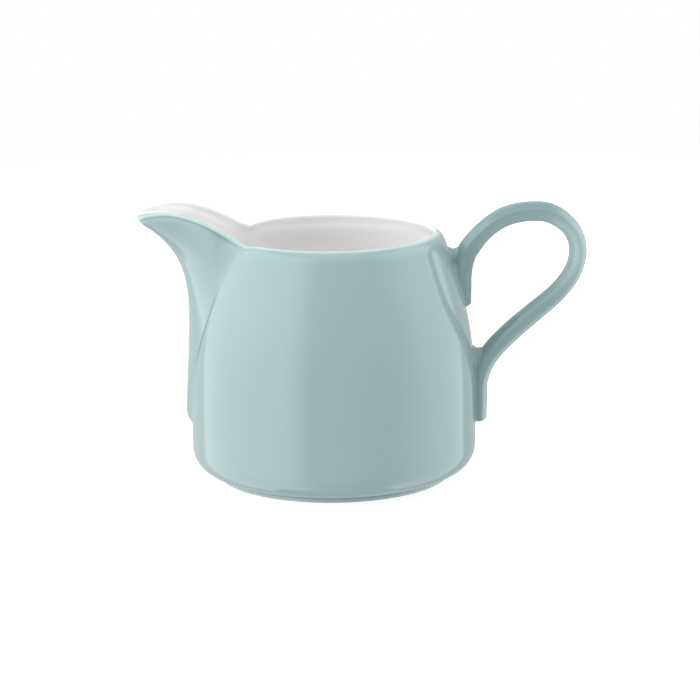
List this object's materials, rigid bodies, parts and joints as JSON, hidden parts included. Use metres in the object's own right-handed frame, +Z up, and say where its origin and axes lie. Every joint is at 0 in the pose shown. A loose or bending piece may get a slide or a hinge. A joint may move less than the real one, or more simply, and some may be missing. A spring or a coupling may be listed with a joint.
{
  "type": "cream jug",
  "caption": "Porcelain cream jug with a rounded aqua body, white inside, a raised beak spout on a long tongue and an ear-shaped strap handle.",
  "frame": {"origin": "on the table, at the middle of the jug's bounding box: midway between spout tip and handle back, on the mirror plane", "axes": "+Z up along the body's axis, +X towards the handle, -X towards the spout; the jug is its own mirror image across the XZ plane"},
  "size_m": [0.1328, 0.085, 0.0818],
  "materials": {
    "aqua_glaze": "glossy",
    "white_glaze": "glossy",
    "bare_porcelain": "matte"
  },
  "bodies": {
    "root": {"jug_body": "aqua_glaze", "foot_ring": "bare_porcelain", "spout": "aqua_glaze", "left_spout_seam": "aqua_glaze", "right_spout_seam": "aqua_glaze", "handle": "aqua_glaze", "upper_handle_joint": "aqua_glaze", "lower_handle_joint": "aqua_glaze"}
  },
  "joints": []
}
